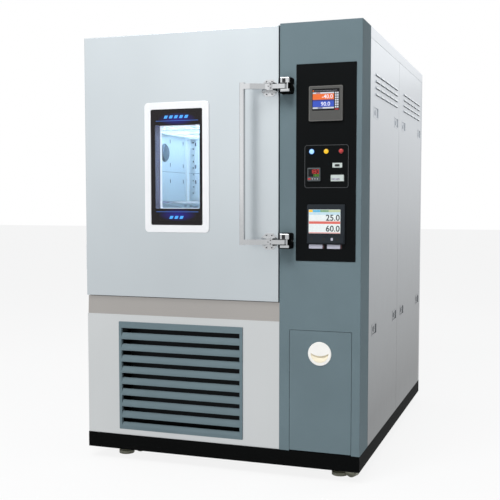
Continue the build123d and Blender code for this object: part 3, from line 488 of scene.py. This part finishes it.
def window():
    """Printed black border with plain light accents, and the inner edge, whose glow is a painted highlight.
    """
    trim_low, trim_high = inside("window_frame")
    pane_front = inside("window_panes")[0].y
    border = (trim_low.x + 26.4, trim_high.x - 26.9, trim_low.z + 28.4, trim_high.z - 26.4)
    view = (302.0, 486.0, 953.0, 1271.0)
    printed = pane_front - 0.25
    ring("window_border", border, view, printed, pane_front - 0.02, panel_black, "door", 5, 5)
    middle = (border[0] + border[1]) / 2
    rail_start, rail_end, rail_width = 306, 480, 1.6
    bar_pitch, bar_width, bar_height, bar_lean = 21, 13, 11, 5
    haze_half = 24
    for name, rail_z, bar_z, count in (("top", 1284.0, 1294.0, 5), ("low", 940.0, 914.0, 3)):
        haze_z = (rail_z + bar_z) / 2 + 2
        haze_box = (316, 472, haze_z - haze_half, haze_z + haze_half)
        plate(f"accent_haze_{name}", haze_box, printed - 0.05, printed, haze_blue, "door", 6, 0.02)
        slanted(f"accent_rail_{name}", rail_start, rail_end, rail_z, rail_z + rail_width, 0,
                printed - 0.2, accent_thin, "door")
        first = middle - count * bar_pitch / 2
        for i in range(count):
            start = first + i * bar_pitch
            slanted(f"accent_bar_{name}_{i}", start, start + bar_width, bar_z, bar_z + bar_height, bar_lean,
                    printed - 0.2, accent_blue, "door")
    # The inner edge glows as a painted highlight.
    inner_edge = (297.5, 489.0, 950.0, 1274.0)
    ring("window_inner_edge", inner_edge, (305.5, 483.0, 955.0, 1268.0), 46.0, 54.6, edge_painted_glow, "door", 3, 3)


# Screens of the touch controller and the recorder

def controller_screen():
    """Two bands with their values, and a side column of keys."""
    front = inside("controller_body")[0].y
    glass = front + SCREEN_RECESS
    face = glass - PRINT_HEIGHT
    glass_box = (923.2, 1022.8, 1303.2, 1379.8)
    plate("controller_glass", glass_box, glass, glass + 0.3, screen_black, "root", 1, 0.1)
    rim, rim_inside = (911.7, 1033.4, 1266.9, 1389.3), (913.2, 1031.9, 1268.4, 1387.8)
    ring("controller_rim", rim, rim_inside, front - 0.15, front + 0.2, bezel_rim, "root", 2, 1)
    right = 1003
    bands = {
        "mark": ((925, 929, 1371, 1375), band_orange), "line": ((931, right + 12, 1372.5, 1373.2), tab_pale),
        "head": ((925, right, 1362.5, 1367.5), screen_pale),
        "high": ((925, right, 1341.5, 1362), band_orange),
        "high_foot": ((925, right, 1337.5, 1341.5), band_deep), "low": ((925, right, 1316, 1337), band_blue),
        "foot": ((925, right, 1309.5, 1315), screen_pale), "stop": ((1006, 1020, 1304.5, 1309), band_red),
    }
    for name, (box, material) in bands.items():
        plate(f"controller_{name}", box, face, glass, material, "root", 0.4, 0.05)
    plate("controller_head_mark", (938, 953, 1363.5, 1366.5), face - 0.1, face, band_red, "root", 0.4, 0.04)
    plate("controller_foot_mark", (943, 962, 1310.5, 1314), face - 0.1, face, band_deep, "root", 0.4, 0.04)
    key_rows, key_pitch, key_width, key_height = 7, 8.2, 5.6, 6
    for column in (1006.5, 1013.8):
        for row in range(key_rows):
            top = 1367 - key_pitch * row
            key_box = (column, column + key_width, top - key_height, top)
            plate(f"controller_key_{int(column)}_{row}", key_box, face, glass, screen_pale, "root", 0.6, 0.05)
    figures("controller_value_high", "-40.0", right - 4, face - 0.1, 1345.5, 14.5, digit_white, "root", 0.12)
    figures("controller_value_low", "90.0", right - 14, face - 0.1, 1319.5, 14.5, digit_white, "root", 0.12)


def recorder_screen():
    """Pale screen with a coloured head, a red band and two values; marks on the flap."""
    hinge_ears = 3.2
    glass = inside("recorder_body")[0].y + hinge_ears + SCREEN_RECESS
    face = glass - PRINT_HEIGHT
    plate("recorder_glass", (912.2, 1028.8, 865.2, 950.8), glass, glass + 0.3, screen_white, "root", 1, 0.1)
    bands = {
        "head_yellow": ((913, 927, 941.5, 949.5), lens_yellow),
        "head_blue": ((927, 955, 941.5, 949.5), band_cyan),
        "head_green": ((955, 986, 941.5, 949.5), band_green),
        "head_pale": ((986, 1028, 941.5, 949.5), band_sage),
        "row": ((913, 1028, 932, 941.5), band_sky), "band": ((913, 1028, 899.5, 908), band_salmon),
        "line_top": ((913, 1028, 909, 909.8), band_salmon), "foot": ((913, 1028, 866, 868.5), band_salmon),
    }
    for name, (box, material) in bands.items():
        plate(f"recorder_{name}", box, face, glass, material, "root", 0.3, 0.05)
    figures("recorder_value_high", "25.0", 1027, face - 0.1, 911.5, 22, digit_ink, "root", 0.45)
    figures("recorder_value_low", "60.0", 1027, face - 0.1, 872.5, 22, digit_ink, "root", 0.45)
    front = inside("recorder_flap")[0].y
    marks = {"left": (919, 928), "middle": (963, 973), "bright": (995, 1003), "right": (1015, 1023)}
    for name, (x0, x1) in marks.items():
        material = tab_pale if name == "bright" else machine_black
        plate(f"flap_mark_{name}", (x0, x1, 839.5, 849.5), front + 1.2, front + 1.7, material,
              "recorder_flap", 2, 0.1)


# Small instruments

def outlined_panel():
    """Limiter, hour meter, socket and lamps inside the raised outline."""
    low = inside("limit_controller")[0]
    window_y = low.y + 1.0
    window_box = (909.7, 950.0, 1068.2, 1095.8)
    plate("limiter_window", window_box, window_y - 0.3, window_y, screen_black, "root", 1, 0.1)
    segments("limiter_value", "180", 948.5, window_y - 0.35, 1079.5, (7.8, 14.5), digit_red, "root")
    segments("limiter_set", "180", 948.5, window_y - 0.35, 1069.3, (6, 8), digit_green, "root")
    for name, x in (("left", 925.0), ("middle", 934.5), ("right", 944.0)):
        key = f"limit_key_{name}"
        face = inside(key)[0].y
        mark = (x - 1.6, x + 1.6, 1059, 1062)
        plate(f"{key}_mark", mark, face - 0.1, face + 0.1, screen_white, key, 1.2, 0.05)
    plate("meter_face", (994.8, 1036.4, 1054.7, 1071.2), -5.4, -4.7, insert_mint, "root", 0.8, 0.1)
    plate("meter_window", (998.5, 1024.5, 1056.5, 1063.0), -5.6, -5.4, tab_pale, "root", 0.4, 0.05)
    segments("meter_value", "00125", 1024, -5.75, 1057.4, (4.2, 4.8), digit_dark, "root")
    plate("socket_slot", (1006.4, 1024.0, 1104.7, 1112.3), -6.0, -5.1, slot_dark, "root", 3.4, 0.3)
    lamp_height = 1158.5
    lamps = {"left": (921.0, lens_white), "middle": (974.5, lens_yellow), "right": (1029.0, lens_red)}
    dome = [(0, -10.2), (2.8, -10.0), (5.6, -9.0), (7.6, -7.2), (8.4, -5.0), (8.4, -4.6)]
    cap = [(0, -4.4), (9.8, -4.4), (9.8, -3.9)]
    for name, (x, material) in lamps.items():
        turned(f"lamp_lens_{name}", (x, lamp_height), dome, material, "root")
        turned(f"lamp_ring_{name}", (x, lamp_height), cap, lens_halo if name == "left" else slot_dark, "root")
    for name, box in (("left", (911.7, 962.2, 810, 825)), ("right", (979, 1027.3, 810, 825))):
        plate(f"bare_tab_{name}", box, -2.6, -1.5, tab_pale, "root", 1.5, 0.3)
        end = (box[1] + 0.5, box[1] + 6, box[2], box[3])
        plate(f"bare_tab_end_{name}", end, -2.3, -1.5, trim_dark, "root", 1, 0.2)
    outline = (894.4, 1055.6, 1028.4, 1181.6)
    field = (896.0, 1054.0, 1030.0, 1180.0)
    ring("panel_outline", outline, field, -2.7, -1.4, outline_grey, "root", 9, 7.5)
    plate("panel_field", field, -2.56, -1.5, fascia_black, "root", 7.5, 0.05)


# Test space seen through the window

def test_space():
    """Folded seams, slots for shelf hooks drawn as dark plates of painted shade, painted highlights on a
    pilaster's folds, and the port's rim.
    """
    wall = max(inside("chamber_liner")[0].x + 2.0, 100.0)
    back = inside("rear_baffle")[0].y
    seam = (1112.8, 1114.6)
    plate("wall_seam", (110, back - 2, *seam), wall + 0.3, wall, seam_grey, "root", 0.5, -0.05, on_wall)
    plate("back_seam", (102, 698, *seam), back - 0.3, back, seam_grey, "root", 0.5, 0.05)
    # The hook slots are dark plates: painted shade for the openings in the liner.
    hook_half, hook_depth = 9, 0.5
    for row, z in enumerate((1251, 1146, 1073)):
        span = (z - hook_half, z + hook_half)
        for column, y in enumerate((588, 735)):
            plate(f"wall_hook_{row}_{column}", (y - 3.5, y + 3.5, *span), wall + hook_depth, wall, hook_slot_painted_shade,
                  "root", 2.5, -0.1, on_wall)
        plate(f"back_hook_{row}", (127, 133, *span), back - hook_depth, back, hook_slot_painted_shade, "root", 2.5, 0.1)
    # Glowing plates on the wall: painted highlights for the pilaster's bright folds.
    pilaster = wall + 7.0
    for name, y0, y1 in (("front", 761.5, 766), ("rear", 771.5, 782)):
        plate(f"pilaster_painted_highlight_{name}", (y0, y1, 985, 1262), pilaster + 0.5, pilaster, fold_painted_highlight,
              "root", 1, -0.1, on_wall)
    port_y, port_z = 525, 1197
    outside, bore = 41.5, 34.5
    outer, inner = ((port_y - r, port_y + r, port_z - r, port_z + r) for r in (outside, bore))
    ring("port_rim", outer, inner, wall + 2.6, wall + 1.2, steel_bright, "root", outside, bore, on_wall, 12)


# Latches and the round pull

def latch_details():
    """Dark discs of painted shade for the latches' sockets, dark rivets, and dark plates of painted shade for
    the keepers' windows.
    """
    latch_heights = (("lower", 833.0), ("upper", 1391.0))
    rivets = (("a", 782.0, 6.5, -54.9), ("b", 782.0, -6.5, -54.9), ("c", 773.0, 0.0, -55.4))
    socket = [(0, 0.5), (1.6, 0.3), (1.9, 0.0), (2.4, 0.0), (2.4, 0.6)]
    for level, z in latch_heights:
        for x in (751.0, 772.0):
            # The sockets are painted shade: dark discs where the latches' notches lie in shade.
            for side, lift in (("top", 22.5), ("foot", -22.5)):
                profile = [(radius, y - 7.5) for radius, y in socket]
                turned(f"latch_socket_{level}_{side}_{int(x)}", (x, z + lift), profile, slot_dark, "door", 16)
        for name, x, lift, y in rivets:
            profile = [(radius * 0.8, y + depth * 0.5) for radius, depth in socket]
            turned(f"hub_rivet_{level}_{name}", (x, z + lift), profile, slot_dark, "handle", 16)
        # The keepers' windows are painted shade: a dark plate on each keeper's face.
        window_box = (824, 836.6, z + 11.6, z + 27)
        plate(f"keeper_window_painted_shade_{level}", window_box, -52.4, -51.9, slot_dark, "root", 1.5, 0.2)


def pull_scoop():
    """Sloping floor of the round pull's finger hollow: deep under its upper lip, level with its lower rim."""
    centre_x, centre_z = 953.3, 426.5
    reach, lip_radius, lip_centre = 32.6, 59.45, 51.6
    rim_y, depth, thickness = -2.7, 9.0, 0.6
    columns, rows_deep = 24, 4
    end_margin, steepness = 0.02, 1.6
    bm = bmesh.new()
    rows = []
    for step in range(rows_deep + 1):
        share = step / rows_deep
        row = []
        for i in range(columns + 1):
            angle = pi * (end_margin + (1 - 2 * end_margin) * i / columns)
            x = reach * cos(angle)
            low = -reach * sin(angle)
            high = lip_centre - (lip_radius ** 2 - x ** 2) ** 0.5
            y = rim_y + depth * share ** steepness
            row.append(bm.verts.new(at(centre_x + x, y, centre_z + low + (high - low) * share)))
        rows.append(row)
    for first, second in zip(rows, rows[1:]):
        for i in range(columns):
            bm.faces.new((first[i], first[i + 1], second[i + 1], second[i]))
    bmesh.ops.recalc_face_normals(bm, faces=bm.faces)
    bmesh.ops.solidify(bm, geom=bm.faces[:], thickness=-thickness * MM)
    piece("pull_scoop", bm, pull_cream, "water_drawer", smooth=True)


latch_details()
pull_scoop()
test_space()
window()
controller_screen()
recorder_screen()
outlined_panel()

for obj in nodes.values():
    mesh = obj.data
    mesh.polygons.foreach_set("use_smooth", [True] * len(mesh.polygons))
    mesh.set_sharp_from_angle(angle=NODE_CREASE)


# Stage: pale floor, white surroundings, soft lamps

def shown(tree):
    """1 for rays that show the background: to the camera, in gloss and through glass."""
    path = tree.nodes.new("ShaderNodeLightPath")
    value = path.outputs["Is Camera Ray"]
    for ray in ("Is Glossy Ray", "Is Transmission Ray"):
        most = tree.nodes.new("ShaderNodeMath")
        most.operation = "MAXIMUM"
        tree.links.new(value, most.inputs[0])
        tree.links.new(path.outputs[ray], most.inputs[1])
        value = most.outputs["Value"]
    return value


def paper(name, color, keep):
    """Floor paper: keeps part of the object's shadow and stays pale for the camera and in reflections."""
    material = bpy.data.materials.new(name)
    material.use_nodes = True
    tree = material.node_tree
    bsdf = tree.nodes["Principled BSDF"]
    bsdf.inputs["Base Color"].default_value = color
    bsdf.inputs["Roughness"].default_value = 0.9
    white = tree.nodes.new("ShaderNodeEmission")
    white.inputs["Color"].default_value = (1, 1, 1, 1)
    seen = tree.nodes.new("ShaderNodeMath")
    seen.operation = "MULTIPLY"
    seen.inputs[1].default_value = 1 - keep
    mix = tree.nodes.new("ShaderNodeMixShader")
    tree.links.new(shown(tree), seen.inputs[0])
    tree.links.new(seen.outputs["Value"], mix.inputs["Fac"])
    tree.links.new(bsdf.outputs["BSDF"], mix.inputs[1])
    tree.links.new(white.outputs["Emission"], mix.inputs[2])
    tree.links.new(mix.outputs["Shader"], tree.nodes["Material Output"].inputs["Surface"])
    return material


def stage():
    """Pale floor and white surroundings."""
    bm = bmesh.new()
    half_width = 30
    bmesh.ops.create_grid(bm, x_segments=1, y_segments=1, size=half_width)
    mesh = bpy.data.meshes.new("floor")
    bm.to_mesh(mesh)
    bm.free()
    mesh.materials.append(paper("floor_paper", (0.82, 0.82, 0.82, 1), keep=0.13))
    floor = bpy.data.objects.new("floor", mesh)
    scene.collection.objects.link(floor)

    world = bpy.data.worlds.new("studio")
    scene.world = world
    world.use_nodes = True
    tree = world.node_tree
    room = tree.nodes["Background"]
    room.inputs["Color"].default_value = (0.93, 0.96, 1.0, 1)
    room.inputs["Strength"].default_value = 0.31
    seen = tree.nodes.new("ShaderNodeBackground")
    seen.inputs["Color"].default_value = (1, 1, 1, 1)
    mix = tree.nodes.new("ShaderNodeMixShader")
    tree.links.new(shown(tree), mix.inputs["Fac"])
    tree.links.new(room.outputs["Background"], mix.inputs[1])
    tree.links.new(seen.outputs["Background"], mix.inputs[2])
    tree.links.new(mix.outputs["Shader"], tree.nodes["World Output"].inputs["Surface"])


def soft_lamp(name, place, target, size, energy, color=(1, 1, 1)):
    """Rectangular lamp aimed at a place."""
    lamp = bpy.data.lights.new(name, "AREA")
    lamp.shape = "RECTANGLE"
    lamp.size, lamp.size_y = size
    lamp.energy = energy
    lamp.color = color
    obj = bpy.data.objects.new(name, lamp)
    scene.collection.objects.link(obj)
    obj.location = place
    obj.rotation_euler = (target - place).to_track_quat("-Z", "Y").to_euler()


def camera():
    """The photograph's camera, solved from the cabinet's edges."""
    data = bpy.data.cameras.new("photo_view")
    data.sensor_width = 36.0
    data.lens = 63.12
    data.shift_x = 0.0009
    data.shift_y = 0.0195
    data.clip_end = 60.0
    obj = bpy.data.objects.new("photo_view", data)
    scene.collection.objects.link(obj)
    obj.location = at(1747.0, -3070.0, 977.0)
    obj.rotation_euler = (radians(86.247), 0.0, radians(19.11))
    scene.camera = obj


stage()
soft_lamp("key", at(200, -2700, 4500), at(450, 0, 900), (2.6, 1.8), 170)
soft_lamp("front_left", at(-1400, -4000, 2300), at(400, 0, 1300), (3.8, 2.8), 12)
soft_lamp("back_right", at(2000, 5200, 2900), at(1103, 800, 1400), (2.2, 1.6), 6)
soft_lamp("side_high", at(2500, 1700, 2900), at(1103, 1000, 1500), (1.2, 1.6), 14)
soft_lamp("top", at(500, 700, 3900), at(500, 700, 0), (3.0, 3.0), 30)
soft_lamp("chamber_light", at(400, 330, 1490), at(400, 400, 700), (0.42, 0.36), 26, (0.9, 0.97, 1.0))
camera()
scene.view_settings.view_transform = "Standard"
